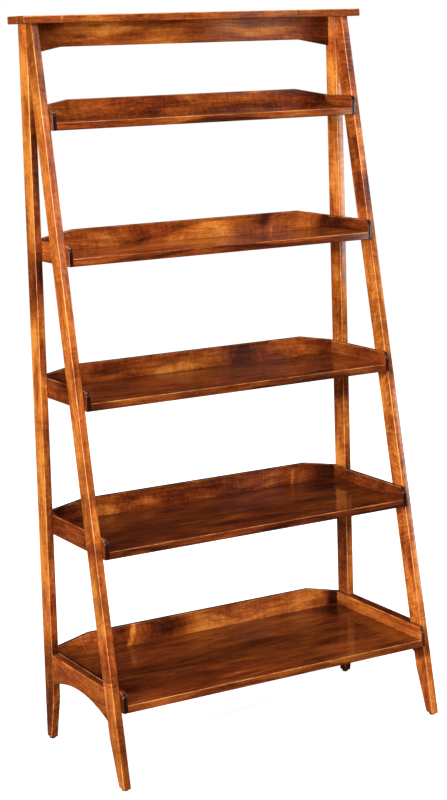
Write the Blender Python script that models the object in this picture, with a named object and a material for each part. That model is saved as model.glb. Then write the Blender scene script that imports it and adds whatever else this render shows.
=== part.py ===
"""Ladder shelf: five shallow trays between two A-shaped side frames, under one top board.

Metres, +Z up. X runs along the shelves, +Y points to the wall behind, and the origin lies on
the floor under the middle of the shelf. Depths are measured forward from the back plane.
"""
import math

import bmesh
import bpy
from mathutils import Matrix, Vector

# Overall size
HEIGHT = 1.829
DEPTH = 0.435
BACK_Y = DEPTH / 2
GAP = 0.0003
EASE = 0.002
TOP_EASE = 0.0025
SIDE_EASE = 0.0025
EASE_STEPS = 3
SHARP_ANGLE = math.radians(40)

# Top board and the apron under it
TOP_LENGTH = 0.968
TOP_DEPTH = 0.0996
TOP_THICK = 0.019
TOP_Z = HEIGHT - TOP_THICK
APRON_THICK = 0.015
APRON_LOW = 1.752
APRON_END_LOW = 1.735
APRON_FLAT_HALF = 0.350
APRON_GAP = 0.00015

# Side frames
POST_THICK = 0.019
POST_OUTER = 0.457
POST_INNER = POST_OUTER - POST_THICK
BACK_POST_DEPTH = 0.049
FRONT_POST_DEPTH = 0.0483
FRONT_TOP_DEPTH = 0.080
FOOT_Z = 0.005
LEAN = (DEPTH - FRONT_TOP_DEPTH) / (TOP_Z - FOOT_Z)
CROTCH_Z = TOP_Z - (BACK_POST_DEPTH + GAP + FRONT_POST_DEPTH - FRONT_TOP_DEPTH) / LEAN
TAPER_Z = 0.115
BACK_FOOT_DEPTH = 0.024
FRONT_FOOT_DEPTH = 0.028
LEG_JOINT_Z = 0.247
TENON_LENGTH = 0.030
TENON_DEPTH = 0.026
TENON_THICK = 0.008
TENON_ROOT = 0.005

# Arched rail at the foot of each side frame
RAIL_TOP_Z = 0.2295
ARCH_CROWN_Z = 0.1815
ARCH_END_Z = 0.152
ARCH_STEPS = 24

# Trays: (number, underside height, height of the back rail)
TRAYS = (
    (1, 1.552, 0.070),
    (2, 1.227, 0.070),
    (3, 0.885, 0.070),
    (4, 0.537, 0.070),
    (5, 0.180, 0.075),
)
TRAY_PROUD = 0.009
BOARD_THICK = 0.019
BOARD_SETBACK = 0.001
SIDE_THICK = 0.012
SIDE_HEIGHT = 0.051
SIDE_CORNER = 0.018
CORNER_STEPS = 8
SIDE_INNER = POST_INNER - SIDE_THICK
BACK_RAIL_THICK = 0.012
BACK_RAIL_FLAT_HALF = 0.333

# Hidden dowels
DOWEL_RADIUS = 0.004
DOWEL_SIDES = 12
DOWEL_IN_POST = 0.010
DOWEL_IN_SIDE = 0.008
TOP_DOWEL_IN_POST = 0.022
TOP_DOWEL_IN_BOARD = 0.010
BACK_DOWEL_DEPTH = 0.031

# Glides under the feet
GLIDE_RADIUS = 0.0085
GLIDE_FLAT_RADIUS = 0.0055
GLIDE_NAIL_RADIUS = 0.0011
GLIDE_NAIL_LENGTH = 0.012
GLIDE_SIDES = 24
GLIDE_RIM_STEPS = 5
MERGE_DISTANCE = 0.00001

SIDES = (("left", -1), ("right", 1))
HALF_TOP = TOP_LENGTH / 2


def clear_scene():
    """Remove every object, so that the model starts from nothing."""
    for obj in list(bpy.data.objects):
        bpy.data.objects.remove(obj, do_unlink=True)


def make_material(name, colour, roughness, metallic=0.0):
    """Return a Principled BSDF material."""
    material = bpy.data.materials.new(name)
    material.use_nodes = True
    shader = material.node_tree.nodes["Principled BSDF"]
    shader.inputs["Base Color"].default_value = (*colour, 1.0)
    shader.inputs["Roughness"].default_value = roughness
    shader.inputs["Metallic"].default_value = metallic
    return material


def front_depth(z):
    """Depth of the front face of the leaning front post at height z."""
    return FRONT_TOP_DEPTH + LEAN * (TOP_Z - z)


def tray_front(bottom):
    """Depth of a tray's front ends, a little in front of the posts."""
    return front_depth(bottom) + TRAY_PROUD


def finish_mesh(name, bm, origin, material, parent):
    """Turn a bmesh in world space into an object whose origin is at a reference point."""
    bmesh.ops.recalc_face_normals(bm, faces=bm.faces)
    mesh = bpy.data.meshes.new(name)
    bm.to_mesh(mesh)
    bm.free()
    mesh.transform(Matrix.Translation(-Vector(origin)))
    mesh.materials.append(material)
    obj = bpy.data.objects.new(name, mesh)
    obj.location = origin
    obj.parent = parent
    bpy.context.collection.objects.link(obj)
    return obj


def mark_eased(bm, joint_faces, plain_edges):
    """Give a bevel weight to every sharp edge that isn't part of a joint."""
    layer = bm.edges.layers.float.new("bevel_weight_edge")
    for edge in bm.edges:
        at_joint = any(face in joint_faces for face in edge.link_faces)
        if not at_joint and edge not in plain_edges and edge.calc_face_angle() > SHARP_ANGLE:
            edge[layer] = 1.0


def prism(name, outline, place, low, high, parent, material, joints=(), plain=()):
    """Extrude an outline from low to high; place(u, v, w) gives the point in space.

    The side between outline points i and i + 1 is side i, and the ends are "low" and "high".
    joints lists the sides and ends that meet another piece, and plain lists (side, end) pairs:
    their edges stay square, and every other sharp edge is eased.
    """
    bm = bmesh.new()
    rings = [[bm.verts.new(place(u, v, w)) for u, v in outline] for w in (low, high)]
    faces = {"low": bm.faces.new(rings[0]), "high": bm.faces.new(reversed(rings[1]))}
    count = len(outline)
    for i in range(count):
        j = (i + 1) % count
        faces[i] = bm.faces.new((rings[0][i], rings[0][j], rings[1][j], rings[1][i]))
    bmesh.ops.recalc_face_normals(bm, faces=bm.faces)
    joint_faces = {faces[key] for key in joints}
    plain_edges = {edge for side, end in plain
                   for edge in faces[side].edges if edge in faces[end].edges[:]}
    mark_eased(bm, joint_faces, plain_edges)
    return finish_mesh(name, bm, place(*outline[0], low), material, parent)


def side_place(depth, z, x):
    """A side outline is drawn in depth and height, and extruded along X."""
    return (x, BACK_Y - depth, z)


def front_place(x, z, depth):
    """A front outline is drawn in X and height, and extruded in depth."""
    return (x, BACK_Y - depth, z)


def side_prism(name, outline, x_a, x_b, parent, material, joints=(), plain=()):
    """Prism of a side outline between two X positions."""
    return prism(name, outline, side_place, min(x_a, x_b), max(x_a, x_b), parent, material,
                 joints, plain)


def front_prism(name, outline, back, front, parent, material, joints=(), plain=()):
    """Prism of a front outline between two depths: its low end is the back one."""
    return prism(name, outline, front_place, back, front, parent, material, joints, plain)


def ease_edges(obj, width=EASE):
    """Round the arrises of a wooden piece that carry a bevel weight."""
    bevel = obj.modifiers.new("eased_edges", "BEVEL")
    bevel.width = width
    bevel.segments = EASE_STEPS
    bevel.limit_method = "WEIGHT"


def cut(piece, tool):
    """Cut a hidden tool from a piece, in one Boolean with the piece's other holes."""
    name = "holes_in_" + piece.name
    holes = bpy.data.collections.get(name)
    if holes is None:
        holes = bpy.data.collections.new(name)
        modifier = piece.modifiers.new("holes", "BOOLEAN")
        modifier.operation = "DIFFERENCE"
        modifier.operand_type = "COLLECTION"
        modifier.collection = holes
        modifier.solver = "EXACT"
    holes.objects.link(tool)


def join(piece, tool):
    """Join a hidden tool onto a piece."""
    modifier = piece.modifiers.new("join_" + tool.name, "BOOLEAN")
    modifier.operation = "UNION"
    modifier.object = tool
    modifier.solver = "EXACT"


def hide_tool(obj):
    """Mark an object as a cutter, which is not a piece of the shelf."""
    obj.hide_render = True
    obj.display_type = "WIRE"
    return obj


def cylinder_between(name, start, end, radius, sides, material, parent):
    """A closed cylinder from start to end, with its origin at its start."""
    start = Vector(start)
    end = Vector(end)
    axis = end - start
    turn = axis.to_track_quat("Z", "X").to_matrix().to_4x4()
    centre = Matrix.Translation((start + end) / 2)
    bm = bmesh.new()
    bmesh.ops.create_cone(bm, cap_ends=True, segments=sides, radius1=radius, radius2=radius,
                          depth=axis.length, matrix=centre @ turn)
    return finish_mesh(name, bm, start, material, parent)


def smooth_round(obj):
    """Shade a turned piece smooth, with its rims kept sharp."""
    obj.data.shade_smooth()
    obj.data.set_sharp_from_angle(angle=SHARP_ANGLE)


def add_dowel(name, start, end, pieces, material, parent):
    """A dowel with a blind hole for it in each of the pieces that it joins."""
    start = Vector(start)
    end = Vector(end)
    ahead = (end - start).normalized() * GAP
    dowel = cylinder_between(name, start, end, DOWEL_RADIUS, DOWEL_SIDES, material, parent)
    smooth_round(dowel)
    hole = hide_tool(cylinder_between("hole_" + name, start - ahead, end + ahead,
                                      DOWEL_RADIUS + GAP, DOWEL_SIDES, material, parent))
    for piece in pieces:
        cut(piece, hole)


def build_top_board(material, parent):
    """Flat top board, flush with the back plane and overhanging in front and at the ends."""
    outline = ((-HALF_TOP, TOP_Z), (HALF_TOP, TOP_Z), (HALF_TOP, HEIGHT), (-HALF_TOP, HEIGHT))
    board = front_prism("top_board", outline, 0, TOP_DEPTH, parent, material)
    ease_edges(board, width=TOP_EASE)
    return board


def build_apron(material, parent):
    """Apron under the top board, between the back posts, dropping lower at its two ends."""
    end = POST_INNER - GAP
    top = TOP_Z - APRON_GAP
    outline = (
        (-end, top), (-end, APRON_END_LOW), (-APRON_FLAT_HALF, APRON_LOW),
        (APRON_FLAT_HALF, APRON_LOW), (end, APRON_END_LOW), (end, top),
    )
    apron = front_prism("top_apron", outline, 0, APRON_THICK, parent, material, joints=(0, 4, 5))
    ease_edges(apron)


def build_back_post(side, sign, material, parent):
    """Upright back post, with its foot tapered on the front."""
    top = TOP_Z - GAP
    outline = (
        (0, FOOT_Z), (0, top), (BACK_POST_DEPTH, top), (BACK_POST_DEPTH, CROTCH_Z),
        (BACK_POST_DEPTH, RAIL_TOP_Z), (BACK_POST_DEPTH, ARCH_END_Z),
        (BACK_POST_DEPTH, TAPER_Z), (BACK_FOOT_DEPTH, FOOT_Z),
    )
    post = side_prism(side + "_back_post", outline, sign * POST_INNER, sign * POST_OUTER,
                      parent, material, joints=(1, 2, 4))
    ease_edges(post)
    return post


def leg_axis():
    """Unit vectors down and across the leaning post, as (depth, height) pairs."""
    down = Vector((LEAN, -1)).normalized()
    across = Vector((-down.y, down.x))
    return down, across


def joint_centre():
    """Middle of the joint between the front post and its leg, as (depth, height)."""
    return Vector((front_depth(LEG_JOINT_Z) - FRONT_POST_DEPTH / 2, LEG_JOINT_Z))


def joint_corners(offset):
    """Back and front corners of the square-cut joint, shifted down the post by offset."""
    down, across = leg_axis()
    middle = joint_centre() + down * offset
    half = FRONT_POST_DEPTH / 2 * down.dot(Vector((0, -1)))
    return middle - across * half, middle + across * half


def post_back(z):
    """Depth of the back face of the leaning front post at height z."""
    return front_depth(z) - FRONT_POST_DEPTH


def build_front_post(side, sign, material, parent):
    """Leaning front post, cut upright at the top where it meets the back post."""
    top = TOP_Z - GAP
    meet = BACK_POST_DEPTH + GAP
    low_back, low_front = joint_corners(-GAP)
    outline = (
        (meet, top), (meet, CROTCH_Z), tuple(low_back), tuple(low_front), (front_depth(top), top),
    )
    post = side_prism(side + "_front_post", outline, sign * POST_INNER, sign * POST_OUTER,
                      parent, material, joints=(0, 2, 4))
    ease_edges(post)
    return post


def build_front_leg(side, sign, material, parent):
    """Lower end of the leaning post, with its foot tapered on the back."""
    high_back, high_front = joint_corners(0)
    outline = (
        tuple(high_front), tuple(high_back), (post_back(RAIL_TOP_Z), RAIL_TOP_Z),
        (post_back(ARCH_END_Z), ARCH_END_Z), (post_back(TAPER_Z), TAPER_Z),
        (DEPTH - FRONT_FOOT_DEPTH, FOOT_Z), (DEPTH, FOOT_Z),
    )
    leg = side_prism(side + "_front_leg", outline, sign * POST_INNER, sign * POST_OUTER,
                     parent, material, joints=(0, 2))
    ease_edges(leg)
    return leg


def tenon_tool(name, sign, grow, material, parent):
    """Stub tenon along the leaning post, from inside the leg up into the post."""
    down, across = leg_axis()
    middle = joint_centre()
    top = middle - down * (TENON_LENGTH + grow)
    bottom = middle + down * TENON_ROOT
    half = across * (TENON_DEPTH / 2 + grow)
    outline = (tuple(top - half), tuple(top + half), tuple(bottom + half), tuple(bottom - half))
    x_middle = sign * (POST_INNER + POST_THICK / 2)
    x_half = TENON_THICK / 2 + grow
    return hide_tool(side_prism(name, outline, x_middle - x_half, x_middle + x_half,
                                parent, material))


def join_leg(side, sign, post, leg, material, parent):
    """Tenon on the leg, and the mortise in the post that takes it."""
    join(leg, tenon_tool("tenon_" + side, sign, 0, material, parent))
    cut(post, tenon_tool("mortise_" + side, sign, GAP, material, parent))


def build_lower_rail(side, sign, material, parent):
    """Rail between the back post and the front leg, with an arched underside."""
    back = BACK_POST_DEPTH + GAP
    front_low = post_back(ARCH_END_Z) - GAP
    front_high = post_back(RAIL_TOP_Z) - GAP
    half_chord = (front_low - back) / 2
    rise = ARCH_CROWN_Z - ARCH_END_Z
    radius = (half_chord ** 2 + rise ** 2) / (2 * rise)
    half_angle = math.asin(half_chord / radius)
    middle = (front_low + back) / 2
    arch = []
    for i in range(ARCH_STEPS + 1):
        angle = half_angle * (2 * i / ARCH_STEPS - 1)
        depth = middle + radius * math.sin(angle)
        arch.append((depth, ARCH_CROWN_Z - radius * (1 - math.cos(angle))))
    outline = arch + [(front_high, RAIL_TOP_Z), (back, RAIL_TOP_Z)]
    front_end = ARCH_STEPS
    back_end = ARCH_STEPS + 2
    rail = side_prism(side + "_lower_rail", outline, sign * POST_INNER, sign * POST_OUTER,
                      parent, material, joints=(front_end, back_end))
    ease_edges(rail)


def build_shelf_board(number, bottom, material, parent):
    """Tray floor between the two side rails."""
    half = SIDE_INNER - GAP
    top = bottom + BOARD_THICK
    outline = ((-half, bottom), (half, bottom), (half, top), (-half, top))
    back = BACK_RAIL_THICK + GAP
    front = tray_front(bottom) - BOARD_SETBACK
    board = front_prism(f"shelf_{number}_board", outline, back, front, parent, material,
                        joints=(1, 3, "low"))
    ease_edges(board)


def build_back_rail(number, bottom, height, material, parent):
    """Back rail between the back posts, its two top corners clipped to the side rails."""
    half = POST_INNER - GAP
    top = bottom + height
    end = bottom + SIDE_HEIGHT
    outline = (
        (-half, bottom), (half, bottom), (half, end), (BACK_RAIL_FLAT_HALF, top),
        (-BACK_RAIL_FLAT_HALF, top), (-half, end),
    )
    rail = front_prism(f"shelf_{number}_back_rail", outline, 0, BACK_RAIL_THICK, parent, material,
                       joints=(1, 5), plain=((0, "high"),))
    ease_edges(rail)


def build_side_rail(number, side, sign, bottom, material, parent):
    """Side rail of a tray, with its top front corner rounded."""
    back = BACK_RAIL_THICK + GAP
    front = tray_front(bottom)
    top = bottom + SIDE_HEIGHT
    corner = []
    for i in range(CORNER_STEPS + 1):
        angle = math.pi / 2 * i / CORNER_STEPS
        corner.append((front - SIDE_CORNER * (1 - math.cos(angle)),
                       top - SIDE_CORNER * (1 - math.sin(angle))))
    outline = [(back, bottom), (front, bottom)] + corner + [(back, top)]
    back_end = len(outline) - 1
    inner_end = "low" if sign > 0 else "high"
    rail = side_prism(f"shelf_{number}_{side}_side", outline, sign * SIDE_INNER,
                      sign * (POST_INNER - GAP), parent, material,
                      joints=(back_end,), plain=((0, inner_end),))
    ease_edges(rail, width=SIDE_EASE)
    return rail


def build_tray(number, bottom, back_height, posts, wood, parent):
    """One tray: floor, back rail and two side rails dowelled to the posts."""
    build_shelf_board(number, bottom, wood["shelf"], parent)
    build_back_rail(number, bottom, back_height, wood["rail"], parent)
    dowel_z = bottom + SIDE_HEIGHT / 2
    front_middle = front_depth(dowel_z) - FRONT_POST_DEPTH / 2
    for side, sign in SIDES:
        rail = build_side_rail(number, side, sign, bottom, wood["rail"], parent)
        front_piece = "front_post" if dowel_z > LEG_JOINT_Z else "front_leg"
        inner = sign * (POST_INNER - GAP - DOWEL_IN_SIDE)
        outer = sign * (POST_INNER + DOWEL_IN_POST)
        for place, depth, post in (("back", BACK_DOWEL_DEPTH, posts[side, "back_post"]),
                                   ("front", front_middle, posts[side, front_piece])):
            add_dowel(f"shelf_{number}_{side}_{place}_dowel", (inner, BACK_Y - depth, dowel_z),
                      (outer, BACK_Y - depth, dowel_z), (rail, post), wood["dowel"], parent)


def join_top(top_board, posts, material, parent):
    """Upright dowels between the posts and the top board."""
    front_middle = (BACK_POST_DEPTH + GAP + FRONT_TOP_DEPTH) / 2
    for side, sign in SIDES:
        x = sign * (POST_INNER + POST_THICK / 2)
        for place, depth in (("back", BACK_POST_DEPTH / 2), ("front", front_middle)):
            add_dowel(f"top_{side}_{place}_dowel", (x, BACK_Y - depth, TOP_Z - TOP_DOWEL_IN_POST),
                      (x, BACK_Y - depth, TOP_Z + TOP_DOWEL_IN_BOARD),
                      (top_board, posts[side, place + "_post"]), material, parent)


def glide_profile():
    """Radius and height of the glide's turned outline, from its nail tip down to its face."""
    top = FOOT_Z - GAP
    rim = GLIDE_RADIUS - GLIDE_FLAT_RADIUS
    profile = [(0, top + GLIDE_NAIL_LENGTH), (GLIDE_NAIL_RADIUS, top + GLIDE_NAIL_LENGTH),
               (GLIDE_NAIL_RADIUS, top)]
    for i in range(GLIDE_RIM_STEPS + 1):
        angle = math.pi / 2 * i / GLIDE_RIM_STEPS
        profile.append((GLIDE_FLAT_RADIUS + rim * math.cos(angle), top * (1 - math.sin(angle))))
    profile.append((0, 0))
    return profile


def build_glide(side, sign, place, depth, leg, material, parent):
    """Domed nail-on glide under a foot."""
    x = sign * (POST_INNER + POST_THICK / 2)
    y = BACK_Y - depth
    bm = bmesh.new()
    points = [bm.verts.new((x + radius, y, z)) for radius, z in glide_profile()]
    edges = [bm.edges.new(pair) for pair in zip(points, points[1:])]
    bmesh.ops.spin(bm, geom=points + edges, cent=(x, y, 0), axis=(0, 0, 1),
                   angle=2 * math.pi, steps=GLIDE_SIDES, use_merge=True)
    bmesh.ops.remove_doubles(bm, verts=bm.verts, dist=MERGE_DISTANCE)
    glide = finish_mesh(f"{side}_{place}_glide", bm, (x, y, 0), material, parent)
    smooth_round(glide)
    nail_top = FOOT_Z + GLIDE_NAIL_LENGTH
    hole = hide_tool(cylinder_between(f"hole_{side}_{place}_glide", (x, y, 0), (x, y, nail_top),
                                      GLIDE_NAIL_RADIUS + GAP, GLIDE_SIDES, material, parent))
    cut(leg, hole)


def main():
    """Build the whole shelf."""
    clear_scene()
    wood = {
        "frame": make_material("frame_wood", (0.46, 0.16, 0.035), 0.30),
        "rail": make_material("rail_wood", (0.24, 0.065, 0.017), 0.30),
        "shelf": make_material("shelf_wood", (0.15, 0.040, 0.012), 0.28),
        "top": make_material("top_wood", (0.30, 0.095, 0.026), 0.30),
        "dowel": make_material("dowel_wood", (0.60, 0.42, 0.24), 0.60),
    }
    glide_plastic = make_material("glide_plastic", (0.06, 0.025, 0.012), 0.25)
    shelf = bpy.data.objects.new("ladder_shelf", None)
    bpy.context.collection.objects.link(shelf)

    top_board = build_top_board(wood["top"], shelf)
    build_apron(wood["rail"], shelf)
    posts = {}
    for side, sign in SIDES:
        posts[side, "back_post"] = build_back_post(side, sign, wood["frame"], shelf)
        posts[side, "front_post"] = build_front_post(side, sign, wood["frame"], shelf)
        posts[side, "front_leg"] = build_front_leg(side, sign, wood["frame"], shelf)
        join_leg(side, sign, posts[side, "front_post"], posts[side, "front_leg"],
                 wood["frame"], shelf)
        build_lower_rail(side, sign, wood["frame"], shelf)
        build_glide(side, sign, "back", BACK_FOOT_DEPTH / 2, posts[side, "back_post"],
                    glide_plastic, shelf)
        build_glide(side, sign, "front", DEPTH - FRONT_FOOT_DEPTH / 2, posts[side, "front_leg"],
                    glide_plastic, shelf)
    for number, bottom, back_height in TRAYS:
        build_tray(number, bottom, back_height, posts, wood, shelf)
    join_top(top_board, posts, wood["dowel"], shelf)


main()
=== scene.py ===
import math

import bpy
from mathutils import Matrix, Vector


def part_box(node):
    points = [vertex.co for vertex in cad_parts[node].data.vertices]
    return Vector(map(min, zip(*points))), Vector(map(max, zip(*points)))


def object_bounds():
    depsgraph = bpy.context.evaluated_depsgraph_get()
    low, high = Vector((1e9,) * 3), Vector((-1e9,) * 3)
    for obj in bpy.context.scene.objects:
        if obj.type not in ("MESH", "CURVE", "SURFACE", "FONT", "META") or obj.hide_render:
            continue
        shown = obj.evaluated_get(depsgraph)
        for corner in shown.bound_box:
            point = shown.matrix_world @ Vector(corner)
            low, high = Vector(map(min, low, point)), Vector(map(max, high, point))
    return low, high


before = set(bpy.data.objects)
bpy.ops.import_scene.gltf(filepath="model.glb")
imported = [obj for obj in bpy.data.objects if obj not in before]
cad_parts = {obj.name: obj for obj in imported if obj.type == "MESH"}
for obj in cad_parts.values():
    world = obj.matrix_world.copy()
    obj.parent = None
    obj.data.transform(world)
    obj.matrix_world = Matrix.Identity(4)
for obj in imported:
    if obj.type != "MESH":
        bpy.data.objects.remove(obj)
cad_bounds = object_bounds()

# Camera: where it stands, which way it looks in degrees, and how it is framed
CAMERA_PLACE = Vector((-2.3287, -4.0527, 1.7593))
CAMERA_TURN = 29.66
CAMERA_PITCH = -6.70
CAMERA_ROLL = -1.71
CAMERA_LENS = 84.6
CAMERA_SHIFT = -0.175

SIDES = ("left", "right")
TRAYS = range(1, 6)

# How far the front posts lean back from upright
LEAN = math.radians(11.1)

# Turns that bring each piece's grain onto the X axis of its wood texture
GRAIN_TURN = {
    "across": (0, 0, 0),
    "deep": (0, 0, math.radians(-90)),
    "upright": (0, math.radians(90), 0),
    "leaning": (LEAN, math.radians(90), 0),
}

# The stain from its darkest blotch to its brightest flame, as reflected colour
STAIN = (
    (0.00, (0.024, 0.0050, 0.0020)),
    (0.20, (0.080, 0.0140, 0.0040)),
    (0.40, (0.200, 0.0360, 0.0070)),
    (0.60, (0.385, 0.0830, 0.0130)),
    (0.80, (0.630, 0.1700, 0.0260)),
    (1.00, (0.880, 0.3000, 0.0500)),
)

# The middle value of every pattern
PATTERN_MIDDLE = 0.5

# Patterns in the wood: features to the metre along and across the grain, detail and roughness
WANDER = (3.5, 12.0, 2.0, 0.5)
BLOTCH = (7.0, 24.0, 6.0, 0.65)
STREAK = (8.0, 260.0, 5.0, 0.75)
LINE = (9.0, 85.0, 5.0, 0.7)
FLAME = (130.0, 24.0, 4.0, 0.6)
FLECK = (90.0, 420.0, 3.0, 0.6)
PORES = (160.0, 1500.0, 2.0, 0.5)
GOLD = (2.5, 9.0, 2.0, 0.5)

# Growth rings: features to the metre along and across the grain, and how they are broken up
RING_SCALE = (3.0, 40.0, 40.0)
RING_BREAKS = {"Distortion": 8.0, "Detail": 3.0, "Detail Scale": 0.5, "Detail Roughness": 0.6}

# How far apart in the endless figure two pieces are cut, for each step of their seed
SEED_STEP = (1.37, 0.71, 0.43)

# How far the grain, and the outlines of the clouds of stain and of painted shade, wander in metres
GRAIN_WANDER = (0.080, 0.040, 0.040)
CLOUD_WANDER = (0.080, 0.030, 0.080)

# How much each pattern shifts the stain. A piece's figure scales all but the flame
BLOTCH_SHIFT = 1.60
RINGS_SHIFT = 0.08
STREAK_SHIFT = 0.70
FLECK_SHIFT = 0.55
FLAME_SHIFT = 1.3

# How much the blotches and streaks break up a cloud, and where its soft edge starts and ends
CLOUD_BLOTCH = 0.9
CLOUD_STREAK = 0.25
CLOUD_EDGE = (0.12, 0.80)

# How far a normal slants where an arris starts and is full, and the height over which its rubbed
# wear and painted highlight fade out at a joint
ARRIS_SLANT = (0.15, 0.4)
GLUE_FADE = 0.02

# A rubbed arris, which also carries a painted highlight: the least and most that its stain is
# lighter, over which span of the streaks' values
WEAR_AND_GLINT_SHIFT = (0.12, 0.34)
WEAR_AND_GLINT_SPAN = (0.3, 0.6)

# The paler colour there, worn-through wood and a painted glint along the rounding: its colour, its
# least and greatest share, over which span of the streaks' values, and how much the blotches add to
# those
BARE_WOOD_AND_GLINT = (0.80, 0.50, 0.28, 1.0)
BARE_AND_GLINT_SHARE = (0.0, 0.32)
BARE_AND_GLINT_SPAN = (0.40, 0.65)
BARE_AND_GLINT_BLOTCH = 0.5

# The pores: how bright the wood stays around and in them, over which span of their values, and how
# deep they are against the streaks
PORE_SHADE = (1.0, 0.60)
PORE_SPAN = (0.58, 0.72)
PORE_DEPTH = 0.5

# How far the stain's green goes down towards red and up towards gold, over which span of that
# pattern's values
GOLD_RANGE = (0.92, 1.09)
GOLD_SPAN = (0.35, 0.65)

# The surface: its relief, its least and greatest roughness, over which span of the blotches' or the
# speckle's values, and the lacquer on the wood
RELIEF = {"Strength": 0.10, "Distance": 0.0005}
WOOD_ROUGHNESS = (0.38, 0.50)
PLASTIC_ROUGHNESS = (0.22, 0.42)
ROUGHNESS_SPAN = (0.3, 0.7)
LACQUER = {"Specular IOR Level": 0.03, "Coat Weight": 0.75, "Coat Roughness": 0.08, "Coat IOR": 1.45}

# Moulded plastic: its speckle, as the patterns above, and its darkest and lightest colour
SPECKLE = (900.0, 900.0, 2.0, 0.5)
PLASTIC = ((0.3, (0.020, 0.009, 0.005)), (0.75, (0.055, 0.024, 0.013)))

# How rounded facets are told from real corners, and how close points are joined first
CORNER_ANGLE = math.radians(40)
JOIN_DISTANCE = 0.00001


def add(tree, kind, inputs=None, **settings):
    """Add a shader node; an input given as a socket is linked and any other value is set."""
    made = tree.nodes.new(kind)
    for name, value in settings.items():
        setattr(made, name, value)
    for name, value in (inputs or {}).items():
        if isinstance(value, bpy.types.NodeSocket):
            tree.links.new(value, made.inputs[name])
        else:
            made.inputs[name].default_value = value
    return made


def maths(tree, operation, first, second):
    """One step of arithmetic."""
    return add(tree, "ShaderNodeMath", {0: first, 1: second}, operation=operation).outputs[0]


def vector_maths(tree, operation, first, second):
    """One step of arithmetic on vectors."""
    made = add(tree, "ShaderNodeVectorMath", {0: first, 1: second}, operation=operation)
    return made.outputs["Value" if operation == "DOT_PRODUCT" else "Vector"]


def noise(tree, vector, pattern, output="Fac"):
    """Noise in one of the patterns above, across a vector whose X runs along the grain."""
    along, across, detail, roughness = pattern
    scaled = vector_maths(tree, "MULTIPLY", vector, (along, across, across))
    return add(tree, "ShaderNodeTexNoise", {
        "Vector": scaled, "Scale": 1.0, "Detail": detail, "Roughness": roughness,
    }).outputs[output]


def remap(tree, value, low, high, new_low=0.0, new_high=1.0):
    """Bring a range of values smoothly onto another, clamped."""
    return add(tree, "ShaderNodeMapRange", {
        "Value": value, "From Min": low, "From Max": high, "To Min": new_low, "To Max": new_high,
    }, interpolation_type="SMOOTHSTEP").outputs[0]


def add_around(tree, total, pattern, amount):
    """Add to a total how far a pattern's value lies from its middle, times an amount."""
    off_middle = maths(tree, "SUBTRACT", pattern, PATTERN_MIDDLE)
    return maths(tree, "ADD", total, maths(tree, "MULTIPLY", off_middle, amount))


def ramp(tree, factor, stops):
    """A colour ramp through (position, colour) stops."""
    made = add(tree, "ShaderNodeValToRGB", {0: factor})
    elements = made.color_ramp.elements
    while len(elements) < len(stops):
        elements.new(1.0)
    for element, (position, colour) in zip(elements, stops):
        element.position = position
        element.color = (*colour, 1.0)
    return made.outputs[0]


def new_material(name):
    """A material with its node tree, shader and object coordinates."""
    material = bpy.data.materials.new(name)
    material.use_nodes = True
    tree = material.node_tree
    return material, tree, tree.nodes["Principled BSDF"], add(tree, "ShaderNodeTexCoord")


def wandering(tree, vector, wander, reach):
    """A place moved about by up to a reach, so that nothing drawn from it is straight."""
    return vector_maths(tree, "ADD", vector, vector_maths(tree, "MULTIPLY", wander, reach))


def cloud_cover(tree, place, tilt, middle, reach, blotch, streak):
    """How fully a soft cloud covers each place, broken up by the wood's own patterns."""
    inside = add(tree, "ShaderNodeMapping", {
        "Vector": place, "Location": middle, "Scale": reach, "Rotation": tilt,
    }, vector_type="TEXTURE").outputs[0]
    cover = add(tree, "ShaderNodeTexGradient", {0: inside}, gradient_type="SPHERICAL").outputs["Fac"]
    cover = add_around(tree, cover, blotch, CLOUD_BLOTCH)
    cover = add_around(tree, cover, streak, CLOUD_STREAK)
    return remap(tree, cover, *CLOUD_EDGE)


def worn_and_glinting_edge(tree, place, normal, arris, glued_z):
    """Which places lie on the rounding of an arris that gets rubbed wear and a painted highlight."""
    turned = add(tree, "ShaderNodeVectorRotate", {
        "Vector": normal, "Axis": (1, 1, 1), "Angle": math.radians(-120),
    }).outputs[0]
    products = vector_maths(tree, "MULTIPLY", normal, turned)
    edge = remap(tree, vector_maths(tree, "DOT_PRODUCT", products, arris), *ARRIS_SLANT)
    if glued_z:
        height = add(tree, "ShaderNodeSeparateXYZ", {0: place}).outputs["Z"]
        free = remap(tree, height, glued_z - GLUE_FADE, glued_z, 1.0, 0.0)
        edge = maths(tree, "MULTIPLY", edge, free)
    return edge


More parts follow.
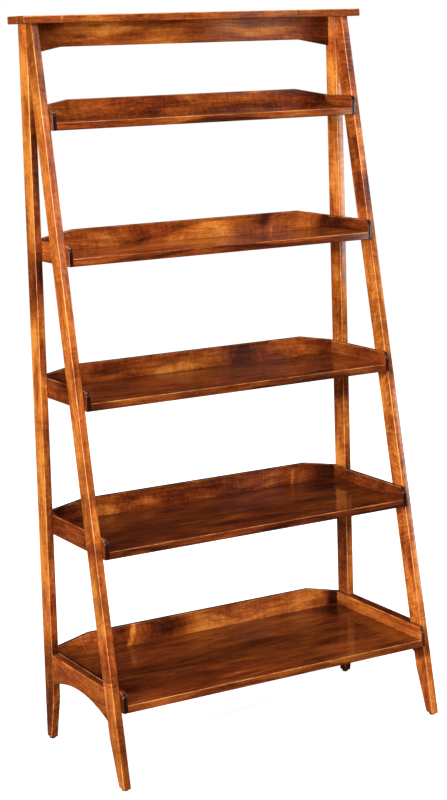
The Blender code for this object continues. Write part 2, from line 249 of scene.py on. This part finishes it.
def wood(name, grain, seed, tone, figure, curl=0.3, face_tone_and_shade=(0, 0, 0), arris=None, clouds=(),
         lines=0.3, glued_z=None):
    """Stained and lacquered maple.

    tone is the mean place on the stain ramp. figure is how strongly the blotches, rings, streaks
    and flecks vary it, lines how strongly broad streaks along the grain do, and curl how strongly
    the bands across the grain do. The shift by face moves it on faces square to X, Y and Z: painted
    light and shade for how much light falls on each face, and on the ends of sides the darker end
    grain. arris picks the long edges that are made lighter and paler, as rubbed wear and as a painted
    highlight along their rounding, by the XY, YZ and ZX products of their normals, and glued_z is the
    height above which they are glued to another piece and get neither. Each cloud of (middle, reach,
    shift) is a soft lighter or darker patch, some of stain and some of painted shadow, shade, sheen
    and reflection, square to the grain of a leaning piece, and may end with its strength on faces
    square to X, Y and Z.
    """
    material, tree, shader, source = new_material(name)
    place = source.outputs["Object"]
    normal = source.outputs["Normal"]
    coords = add(tree, "ShaderNodeMapping", {
        "Vector": place, "Rotation": GRAIN_TURN[grain],
        "Location": tuple(seed * step for step in SEED_STEP),
    }).outputs[0]

    wander = noise(tree, coords, WANDER, "Color")
    wander = vector_maths(tree, "SUBTRACT", wander, (PATTERN_MIDDLE,) * 3)
    grain_line = wandering(tree, coords, wander, GRAIN_WANDER)
    blotch = noise(tree, grain_line, BLOTCH)
    rings = add(tree, "ShaderNodeTexWave", {
        "Vector": vector_maths(tree, "MULTIPLY", grain_line, RING_SCALE), "Scale": 1.0, **RING_BREAKS,
    }, wave_type="RINGS", rings_direction="X", wave_profile="SIN").outputs["Fac"]
    streak = noise(tree, grain_line, STREAK)
    line = noise(tree, grain_line, LINE)
    flame = noise(tree, grain_line, FLAME)
    fleck = noise(tree, grain_line, FLECK)
    pores = noise(tree, coords, PORES)

    shade = add_around(tree, tone, blotch, BLOTCH_SHIFT * figure)
    shade = add_around(tree, shade, rings, RINGS_SHIFT * figure)
    shade = add_around(tree, shade, streak, STREAK_SHIFT * figure)
    shade = add_around(tree, shade, fleck, FLECK_SHIFT * figure)
    shade = add_around(tree, shade, line, lines)
    shade = add_around(tree, shade, flame, curl * FLAME_SHIFT)
    squared = vector_maths(tree, "MULTIPLY", normal, normal)
    # Painted light and shade by which way a face looks, and the darker end grain on the ends of sides
    shade = maths(tree, "ADD", shade, vector_maths(tree, "DOT_PRODUCT", squared, face_tone_and_shade))
    cloud_place = wandering(tree, place, wander, CLOUD_WANDER)
    tilt = (-LEAN, 0, 0) if grain == "leaning" else (0, 0, 0)
    # Clouds: some are stain, others painted shadow, shade, sheen and reflection
    for middle, reach, shift, *faces in clouds:
        cover = cloud_cover(tree, cloud_place, tilt, middle, reach, blotch, streak)
        if faces:
            on_faces = vector_maths(tree, "DOT_PRODUCT", squared, faces[0])
            cover = maths(tree, "MULTIPLY", cover, on_faces)
        shade = maths(tree, "ADD", shade, maths(tree, "MULTIPLY", cover, shift))
    # Rubbed wear along the arrises, and a painted highlight along their rounding
    if arris:
        edge = worn_and_glinting_edge(tree, place, normal, arris, glued_z)
        lighter = remap(tree, streak, *WEAR_AND_GLINT_SPAN, *WEAR_AND_GLINT_SHIFT)
        shade = maths(tree, "ADD", shade, maths(tree, "MULTIPLY", edge, lighter))
    colour = ramp(tree, shade, STAIN)
    # Paler colour on the arrises: worn-through wood and a painted glint
    if arris:
        bare_and_glint = add_around(tree, streak, blotch, BARE_AND_GLINT_BLOTCH)
        bare_and_glint = maths(tree, "MULTIPLY", edge, remap(tree, bare_and_glint, *BARE_AND_GLINT_SPAN, *BARE_AND_GLINT_SHARE))
        colour = add(tree, "ShaderNodeMix", {0: bare_and_glint, 6: colour, 7: BARE_WOOD_AND_GLINT},
                     data_type="RGBA").outputs[2]
    dots = remap(tree, pores, *PORE_SPAN, *PORE_SHADE)
    gold = remap(tree, noise(tree, grain_line, GOLD), *GOLD_SPAN, *GOLD_RANGE)
    gold = maths(tree, "MULTIPLY", dots, gold)
    colour = vector_maths(tree, "MULTIPLY", colour,
                          add(tree, "ShaderNodeCombineXYZ", {0: dots, 1: gold, 2: dots}).outputs[0])

    height = maths(tree, "ADD", maths(tree, "MULTIPLY", pores, -PORE_DEPTH), streak)
    bump = add(tree, "ShaderNodeBump", {**RELIEF, "Height": height})
    roughness = remap(tree, blotch, *ROUGHNESS_SPAN, *WOOD_ROUGHNESS)
    tree.links.new(colour, shader.inputs["Base Color"])
    tree.links.new(roughness, shader.inputs["Roughness"])
    tree.links.new(bump.outputs[0], shader.inputs["Normal"])
    for socket, value in LACQUER.items():
        shader.inputs[socket].default_value = value
    return material


def glide_plastic():
    """Dark brown moulded plastic, a little scuffed."""
    material, tree, shader, source = new_material("glide_brown_plastic")
    speckle = noise(tree, source.outputs["Object"], SPECKLE)
    tree.links.new(ramp(tree, speckle, PLASTIC), shader.inputs["Base Color"])
    roughness = remap(tree, speckle, *ROUGHNESS_SPAN, *PLASTIC_ROUGHNESS)
    tree.links.new(roughness, shader.inputs["Roughness"])
    return material


def dress(node_name, material):
    """Give a CAD node its material, and shade its rounded arrises smooth up to each real corner."""
    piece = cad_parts[node_name]
    mesh = piece.data
    mesh.materials.clear()
    mesh.materials.append(material)
    for stored in ("custom_normal", "sharp_edge", "sharp_face"):
        if stored in mesh.attributes:
            mesh.attributes.remove(mesh.attributes[stored])
    weld = piece.modifiers.new("join_facets", "WELD")
    weld.merge_threshold = JOIN_DISTANCE
    split = piece.modifiers.new("keep_corners", "EDGE_SPLIT")
    split.split_angle = CORNER_ANGLE
    piece.modifiers.new("round_arrises", "WEIGHTED_NORMAL")


# The long arrises that are made lighter, as rubbed wear and as a painted highlight: front left and
# back right on an upright piece, upper front and lower back on one that lies across, more so on a
# tray's board, and upper left and lower right on one that lies front to back, with the outer one of
# its front end on a right side
UPRIGHT_ARRIS = (1, 0, 0)
ACROSS_ARRIS = (0, -1, 0)
BOARD_ARRIS = (0, -1.3, 0)
DEEP_ARRIS = (0, 0, -1)
RIGHT_SIDE_ARRIS = (-0.8, 0, -1)

# Where each kind of piece is cut from the endless figure; pieces of a kind follow on from there
POST_SEED = 7.0
LOWER_RAIL_SEED = 18.4
TOP_BOARD_SEED = 3.1
TOP_APRON_SEED = 5.3
BOARD_SEED = 20.0
BACK_RAIL_SEED = 30.0
SIDE_SEED = 40.0
DOWEL_SEED = 2.2

# A reach past every side of a piece
WIDE = 2.0

# Which of a post's faces a cloud shows on
ALL_FACES = (1, 1, 1)
FRONT_FACES = (0, 1, 0)

# The joint between a front post and its leg, the reach of the stain line along it, and how far the
# middle of a front post is from its front face
LEG_JOINT_Z = 0.247
JOINT_LINE = 0.0035
POST_HALF_DEPTH = 0.024

# Where the front and back posts part: above this height they are glued together
POSTS_MEET_Z = 1.735

# Each post's mean tone, figure, curl and shifts on faces square to X, Y and Z, the shifts a painted
# light and shade for how much light falls on each face
POST_LOOKS = {
    "left_back_post": (0.76, 0.9, 0.4, (0.04, -0.24, 0)),
    "left_front_post": (0.74, 0.9, 0.4, (0.0, -0.15, 0)),
    "left_front_leg": (0.73, 0.7, 0.3, (0.0, -0.25, 0)),
    "right_back_post": (0.70, 0.9, 0.5, (0.0, 0.09, 0)),
    "right_front_post": (0.69, 0.9, 0.7, (0.0, -0.02, 0)),
    "right_front_leg": (0.70, 0.8, 0.4, (0.0, 0.17, 0)),
}

# Clouds along the posts: height of the middle, reach up and down, and shift. Most are stain; the
# dark ones just under the trays on the right posts and leg are painted shadow, and the dark one at
# the top of the left front post, under the top board, is partly painted shadow
POST_STAIN_AND_SHADOW = {
    "left_back_post": ((0.11, 0.24, -0.52), (1.18, 0.15, -0.50), (0.42, 0.10, 0.10),
                       (0.75, 0.35, 0.08), (1.03, 0.05, 0.12), (1.48, 0.18, 0.12),
                       (1.66, 0.08, 0.12), (1.77, 0.05, -0.20), (0.86, 0.05, 0.12),
                       (0.49, 0.06, 0.12), (0.23, 0.05, -0.12)),
    "left_front_post": ((0.29, 0.08, -0.12), (0.415, 0.05, -0.12), (0.555, 0.035, -0.24),
                        (0.675, 0.035, -0.12), (1.38, 0.30, 0.10), (1.76, 0.12, -0.20),
                        (LEG_JOINT_Z, JOINT_LINE, -0.16)),
    "left_front_leg": ((0.09, 0.04, -0.12), (LEG_JOINT_Z, JOINT_LINE, -0.16)),
    "right_back_post": ((0.00, 0.13, -0.50), (0.36, 0.25, -0.37), (0.63, 0.09, 0.20),
                        (0.81, 0.07, -0.42), (1.01, 0.11, -0.26), (1.19, 0.04, -0.22),
                        (1.40, 0.16, 0.10), (1.64, 0.10, 0.22), (1.77, 0.05, 0.12)),
    "right_front_post": ((0.40, 0.20, 0.05), (0.545, 0.03, -0.22), (0.82, 0.07, 0.16),
                         (0.89, 0.02, -0.22), (1.40, 0.19, -0.30), (1.65, 0.07, -0.22),
                         (LEG_JOINT_Z, JOINT_LINE, -0.14)),
    "right_front_leg": ((0.160, 0.035, -0.42), (LEG_JOINT_Z, JOINT_LINE, -0.14)),
}

# Clouds on the posts' front and back faces only: height of the middle, reach up and down, and
# shift; partly stain and partly painted sheen and shade that fall on those faces alone
FRONT_STAIN_SHEEN_AND_SHADE = {
    "left_back_post": ((1.47, 0.22, -0.44), (1.12, 0.15, 0.40), (0.56, 0.20, -0.18),
                       (0.09, 0.13, 0.42)),
    "left_front_post": ((1.77, 0.05, 0.10), (1.64, 0.08, -0.20), (1.38, 0.20, -0.14),
                        (0.92, 0.14, 0.10), (0.57, 0.14, 0.28), (0.29, 0.06, 0.20)),
    "right_back_post": ((1.03, 0.12, 0.22), (0.61, 0.12, -0.52), (0.33, 0.16, 0.26)),
    "right_front_post": ((1.72, 0.10, -0.28), (1.45, 0.12, 0.46), (0.38, 0.18, 0.28)),
}

# Marks across the top board, the first two along its seam: x and height of the middle, reach along
# and up, and shift, with heights above the floor
TOP_MARKS = (
    (-0.396, 1.826, 0.003, 0.012, 0.25), (-0.393, 1.816, 0.002, 0.012, -0.20),
    (0.30, 1.820, 0.003, 0.014, -0.45),
)

# Clouds on the top apron, given in the same way; the dark one at its right end is painted shade
# and the light one from x 0.08 to 0.36 a painted sheen, the rest stain
APRON_STAIN_SHADE_AND_SHEEN = (
    (-0.22, 1.795, 0.16, 0.020, 0.28), (0.03, 1.775, 0.05, 0.03, -0.15),
    (0.44, 1.77, 0.13, 0.12, -0.42), (-0.05, 1.775, 0.10, 0.03, 0.10), (0.22, 1.78, 0.14, 0.04, 0.14),
)

# Mean tone of each tray's board, back rail, left side and right side
TRAY_TONES = {
    1: (0.42, 0.43, 0.35, 0.40),
    2: (0.46, 0.53, 0.51, 0.22),
    3: (0.36, 0.50, 0.30, 0.46),
    4: (0.33, 0.42, 0.38, 0.34),
    5: (0.42, 0.63, 0.24, 0.66),
}

# How each board's front edge differs in tone from its top, a painted light and shade for the
# different light on the edge and the top
BOARD_EDGE_SHADE = {1: 0.08, 2: -0.04, 3: 0.02, 4: 0.07, 5: 0.12}

# How the top edges of back rails, sides and lower rails differ in tone from the faces beside them,
# a painted shade for the little light that reaches them, and how the ends of sides do, as end grain
# that takes more stain
BACK_RAIL_TOP_SHADE = -0.40
SIDE_TOP_SHADE = {"left": 0.0, "right": -0.32}
LOWER_RAIL_TOP_SHADE = {"left": 0.0, "right": -0.25}
SIDE_ENDS = -0.5

# Clouds on each back rail: x and height above the tray's foot, reach along and up, and shift; the
# dark ones at the rails' ends beside the posts are painted shade, the rest stain and figure
RAIL_STAIN_AND_SHADE = {
    1: ((0.36, 0.05, 0.12, 0.07, -0.24), (0.26, 0.03, 0.04, 0.03, -0.12),
        (0.39, 0.06, 0.02, 0.012, 0.25), (-0.33, 0.03, 0.10, 0.03, 0.08),
        (0.0, 0.0, 0.30, 0.02, -0.06)),
    2: ((-0.26, 0.02, 0.12, 0.035, 0.30), (-0.15, 0.04, 0.05, 0.06, -0.20),
        (0.05, 0.02, 0.14, 0.035, 0.30), (-0.26, 0.07, 0.12, 0.02, -0.18),
        (0.222, 0.05, 0.028, 0.05, -0.22), (0.252, 0.02, 0.008, 0.035, 0.22),
        (0.34, 0.04, 0.05, 0.03, 0.08), (0.43, 0.04, 0.05, 0.09, -0.35)),
    3: ((-0.25, 0.06, 0.12, 0.02, -0.22), (-0.06, 0.03, 0.10, 0.04, 0.16),
        (0.145, 0.045, 0.075, 0.055, -0.28), (0.28, 0.04, 0.10, 0.04, 0.18),
        (0.42, 0.02, 0.07, 0.03, -0.20), (-0.43, 0.03, 0.08, 0.1, -0.35),
        (-0.18, 0.02, 0.05, 0.02, 0.10)),
    4: ((-0.28, 0.02, 0.08, 0.02, 0.28), (-0.16, 0.04, 0.08, 0.015, 0.18),
        (0.29, 0.04, 0.010, 0.04, 0.25), (0.24, 0.02, 0.12, 0.02, -0.20),
        (0.42, 0.03, 0.11, 0.09, -0.35), (-0.42, 0.03, 0.10, 0.1, -0.15)),
    5: ((-0.24, 0.04, 0.06, 0.09, -0.40), (-0.11, 0.05, 0.13, 0.07, -0.38),
        (-0.214, 0.025, 0.010, 0.022, 0.4), (-0.205, 0.04, 0.010, 0.022, 0.4),
        (-0.195, 0.056, 0.011, 0.02, 0.4), (0.08, 0.02, 0.16, 0.05, 0.28),
        (0.25, 0.03, 0.18, 0.04, 0.25), (0.42, 0.04, 0.05, 0.1, -0.60)),
}

# Clouds on each board: x and y of the middle, reach along and across, and shift. The dark ones at
# the back right corners, and by the left front of the lowest board, are painted shade; the light
# bands near the back of boards 2 to 4 are painted reflections of the back rails; the rest is stain
BOARD_STAIN_SHADE_AND_REFLECTION = {
    1: (),
    2: ((-0.12, 0.16, 0.28, 0.12, 0.26), (0.17, 0.12, 0.09, 0.12, -0.20),
        (0.31, 0.10, 0.06, 0.08, -0.12)),
    3: ((-0.08, 0.17, 0.14, 0.03, 0.16), (-0.16, 0.11, 0.12, 0.05, 0.08),
        (0.0, 0.05, 0.07, 0.06, -0.12), (0.29, 0.13, 0.13, 0.07, -0.20),
        (0.36, 0.02, 0.10, 0.05, 0.12)),
    4: ((-0.10, 0.20, 0.25, 0.02, 0.16), (0.33, 0.14, 0.12, 0.08, -0.24),
        (0.03, 0.07, 0.22, 0.03, -0.12), (-0.03, -0.01, 0.12, 0.04, 0.14),
        (-0.36, -0.08, 0.10, 0.04, -0.10)),
    5: ((0.08, 0.045, 0.09, 0.04, -0.18), (0.24, -0.06, 0.09, 0.04, -0.15),
        (0.38, 0.16, 0.08, 0.08, -0.30), (-0.30, -0.02, 0.10, 0.03, 0.14),
        (-0.37, -0.085, 0.07, 0.04, -0.14), (0.0, -0.14, 0.30, 0.02, 0.08),
        (0.38, -0.10, 0.06, 0.10, 0.10)),
}

# The darker line under each board's front edge: its reach back and up, and shift
BOARD_FOOT_LINE = (0.030, 0.010, -0.20)

# Soft boxes: where each stands, its width and height, and its watts
SOFT_BOXES = {
    "key_left": ((-5.6, -3.2, 1.8), (2.8, 3.4), 535),
    "fill_front": ((-2.6, -4.8, 3.2), (1.6, 1.6), 75),
    "card_high": ((2.0, -4.0, 3.1), (3.4, 1.8), 30),
    "card_right": ((4.1, -3.9, 1.4), (1.4, 2.4), 11),
    "card_slim": ((2.8, -4.15, 1.85), (0.42, 0.6), 0.9),
    "card_low": ((3.39, -4.0, 0.95), (0.45, 1.1), 12),
    "card_back": ((4.8, 2.4, 1.2), (1.0, 2.4), 9),
    "side_right": ((5.4, 0.9, 2.0), (1.6, 2.2), 130),
    "overhead": ((0.0, -0.6, 3.6), (1.6, 1.2), 36),
    "back_high": ((0.0, 1.9, 4.2), (2.4, 1.0), 32),
}

# What the soft boxes face, and the brightness of the room as the shelf reflects it
SHELF_MIDDLE = Vector((0.0, 0.0, 0.95))
ROOM_LIGHT = 0.006

# The floor: its half width, how white it is to the camera and how grey it is to the shelf, and its
# glow to the camera, with the distances from the shelf where that starts to grow and is full
FLOOR_HALF = 30.0
FLOOR_WHITE = 0.8
FLOOR_GREY = 0.06
GLOW_NEAR = 0.82
GLOW_FAR = 1.0
GLOW_GROWS = (0.6, 2.2)


def rail_clouds(foot, clouds):
    """Clouds on a piece that lies across, from their x and height above its foot."""
    return [((x, 0, foot + up), (long, WIDE, tall), shift) for x, up, long, tall, shift in clouds]


def post_clouds(name, grain):
    """Clouds on a post or leg, the front ones on its front and back faces only."""
    foot_front = cad_bounds[0][1]
    marks = [(*mark, ALL_FACES) for mark in POST_STAIN_AND_SHADOW[name]]
    marks += [(*mark, FRONT_FACES) for mark in FRONT_STAIN_SHEEN_AND_SHADE.get(name, ())]
    clouds = []
    for z, reach, shift, faces in marks:
        y = 0 if grain == "upright" else foot_front + POST_HALF_DEPTH + math.tan(LEAN) * z
        clouds.append(((0, y, z), (WIDE, WIDE, reach), shift, faces))
    return clouds


def dress_frame():
    """Posts and legs have their grain along their length, and the lower rails along their depth."""
    for seed, (name, (tone, figure, curl, face_tone_and_shade)) in enumerate(POST_LOOKS.items()):
        grain = "upright" if "back" in name else "leaning"
        dress(name, wood(f"wood_{name}", grain, POST_SEED + seed, tone, figure, curl, face_tone_and_shade,
                         arris=UPRIGHT_ARRIS, clouds=post_clouds(name, grain),
                         glued_z=POSTS_MEET_Z if grain == "upright" else None))
    for seed, side in enumerate(SIDES):
        name = f"{side}_lower_rail"
        dress(name, wood(f"wood_{name}", "deep", LOWER_RAIL_SEED + seed, tone=0.57, figure=0.8,
                         curl=0.2, face_tone_and_shade=(0, 0, LOWER_RAIL_TOP_SHADE[side]), arris=DEEP_ARRIS))


def dress_top():
    """The top board and the apron under it."""
    dress("top_board", wood("wood_top_board", "across", TOP_BOARD_SEED, tone=0.48, figure=0.8,
                            curl=0.25, arris=ACROSS_ARRIS, clouds=rail_clouds(0.0, TOP_MARKS)))
    dress("top_apron", wood("wood_top_apron", "across", TOP_APRON_SEED, tone=0.54, figure=0.7,
                            curl=0.2, arris=ACROSS_ARRIS, clouds=rail_clouds(0.0, APRON_STAIN_SHADE_AND_SHEEN)))


def dress_board(number, tone, low):
    """A tray's board, from its mean tone and its lowest corner."""
    clouds = [((x, y, low.z), (long, deep, WIDE), shift)
              for x, y, long, deep, shift in BOARD_STAIN_SHADE_AND_REFLECTION[number]]
    back, up, shift = BOARD_FOOT_LINE
    clouds.append(((0, low.y, low.z), (WIDE, back, up), shift))
    name = f"shelf_{number}_board"
    dress(name, wood(f"wood_{name}", "across", BOARD_SEED + number, tone, figure=0.55, curl=0.10,
                     face_tone_and_shade=(0, BOARD_EDGE_SHADE[number], 0), arris=BOARD_ARRIS, clouds=clouds,
                     lines=0.7))


def dress_back_rail(number, tone, foot):
    """A tray's back rail, from its mean tone and the height of the tray's foot."""
    name = f"shelf_{number}_back_rail"
    dress(name, wood(f"wood_{name}", "across", BACK_RAIL_SEED + number, tone, figure=0.8, curl=0.30,
                     face_tone_and_shade=(0, 0, BACK_RAIL_TOP_SHADE), arris=ACROSS_ARRIS,
                     clouds=rail_clouds(foot, RAIL_STAIN_AND_SHADE[number])))


def dress_side(number, side, tone, seed):
    """One of a tray's sides."""
    name = f"shelf_{number}_{side}_side"
    dress(name, wood(f"wood_{name}", "deep", seed, tone, figure=0.8, curl=0.25,
                     face_tone_and_shade=(0, SIDE_ENDS, SIDE_TOP_SHADE[side]),
                     arris=DEEP_ARRIS if side == "left" else RIGHT_SIDE_ARRIS))


def dress_trays():
    """Boards and back rails have their grain across, and sides along their depth."""
    for number in TRAYS:
        board, rail, *sides = TRAY_TONES[number]
        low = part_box(f"shelf_{number}_board")[0]
        dress_board(number, board, low)
        dress_back_rail(number, rail, low.z)
        for place, (side, tone) in enumerate(zip(SIDES, sides)):
            dress_side(number, side, tone, SIDE_SEED + 3 * number + place)


def dress_hidden():
    """The glides under the feet, and the dowels inside the joints."""
    plastic = glide_plastic()
    dowel = wood("wood_dowel", "across", DOWEL_SEED, tone=0.9, figure=0.4)
    for side in SIDES:
        for place in ("back", "front"):
            dress(f"{side}_{place}_glide", plastic)
            dress(f"top_{side}_{place}_dowel", dowel)
            for number in TRAYS:
                dress(f"shelf_{number}_{side}_{place}_dowel", dowel)


def soft_box(name, place, size, watts):
    """A soft box at a place, facing the shelf."""
    data = bpy.data.lights.new(name, "AREA")
    data.shape = "RECTANGLE"
    data.size, data.size_y = size
    data.energy = watts
    light = bpy.data.objects.new(name, data)
    light.location = place
    aim = SHELF_MIDDLE - Vector(place)
    light.rotation_euler = aim.to_track_quat("-Z", "Y").to_euler()
    bpy.context.scene.collection.objects.link(light)


def light_studio():
    """Soft boxes round the shelf, in a room that is white only to the camera."""
    for name, (place, size, watts) in SOFT_BOXES.items():
        soft_box(name, place, size, watts)
    world = bpy.data.worlds.new("white_room")
    bpy.context.scene.world = world
    world.use_nodes = True
    tree = world.node_tree
    tree.nodes.clear()
    seen = add(tree, "ShaderNodeLightPath").outputs["Is Camera Ray"]
    white = (1, 1, 1, 1)
    backdrop = add(tree, "ShaderNodeBackground", {"Color": white, "Strength": 1.0}).outputs[0]
    room = add(tree, "ShaderNodeBackground", {"Color": white, "Strength": ROOM_LIGHT}).outputs[0]
    mixed = add(tree, "ShaderNodeMixShader", {0: seen, 1: room, 2: backdrop}).outputs[0]
    add(tree, "ShaderNodeOutputWorld", {0: mixed})


def make_floor():
    """Plain white floor, which glows to the camera, more so further from the shelf."""
    corners = [(x * FLOOR_HALF, y * FLOOR_HALF, 0) for x, y in ((-1, -1), (1, -1), (1, 1), (-1, 1))]
    mesh = bpy.data.meshes.new("floor")
    mesh.from_pydata(corners, [], [(0, 1, 2, 3)])
    floor = bpy.data.objects.new("floor", mesh)
    bpy.context.scene.collection.objects.link(floor)
    material, tree, shader, source = new_material("floor_white")
    tree.nodes.remove(shader)
    distance = add(tree, "ShaderNodeVectorMath", {0: source.outputs["Object"]}, operation="LENGTH")
    glow = remap(tree, distance.outputs["Value"], *GLOW_GROWS, GLOW_NEAR, GLOW_FAR)
    seen = add(tree, "ShaderNodeLightPath").outputs["Is Camera Ray"]
    white = (FLOOR_WHITE, FLOOR_WHITE, FLOOR_WHITE, 1)
    bright = add(tree, "ShaderNodeBsdfDiffuse", {"Color": white}).outputs[0]
    shine = add(tree, "ShaderNodeEmission", {"Strength": glow}).outputs[0]
    camera_side = add(tree, "ShaderNodeAddShader", {0: bright, 1: shine}).outputs[0]
    grey = (FLOOR_GREY, FLOOR_GREY, FLOOR_GREY, 1)
    dull = add(tree, "ShaderNodeBsdfDiffuse", {"Color": grey}).outputs[0]
    mixed = add(tree, "ShaderNodeMixShader", {0: seen, 1: dull, 2: camera_side}).outputs[0]
    tree.links.new(mixed, tree.nodes["Material Output"].inputs["Surface"])
    mesh.materials.append(material)


def make_camera():
    """Camera in front of the shelf and to its left, tilted down a little and slightly rolled."""
    turn, pitch, roll = (math.radians(a) for a in (CAMERA_TURN, CAMERA_PITCH, CAMERA_ROLL))
    ahead = Vector((math.sin(turn) * math.cos(pitch), math.cos(turn) * math.cos(pitch),
                    math.sin(pitch)))
    level = ahead.cross(Vector((0, 0, 1))).normalized()
    upright = level.cross(ahead)
    right = math.cos(roll) * level + math.sin(roll) * upright
    up = math.cos(roll) * upright - math.sin(roll) * level
    data = bpy.data.cameras.new("camera")
    data.lens = CAMERA_LENS
    data.shift_y = CAMERA_SHIFT
    camera = bpy.data.objects.new("camera", data)
    pose = Matrix((right, up, -ahead)).transposed().to_4x4()
    pose.translation = CAMERA_PLACE
    camera.matrix_world = pose
    bpy.context.scene.collection.objects.link(camera)
    bpy.context.scene.camera = camera


bpy.context.scene.view_settings.view_transform = "Standard"
make_camera()
dress_frame()
dress_top()
dress_trays()
dress_hidden()
light_studio()
make_floor()
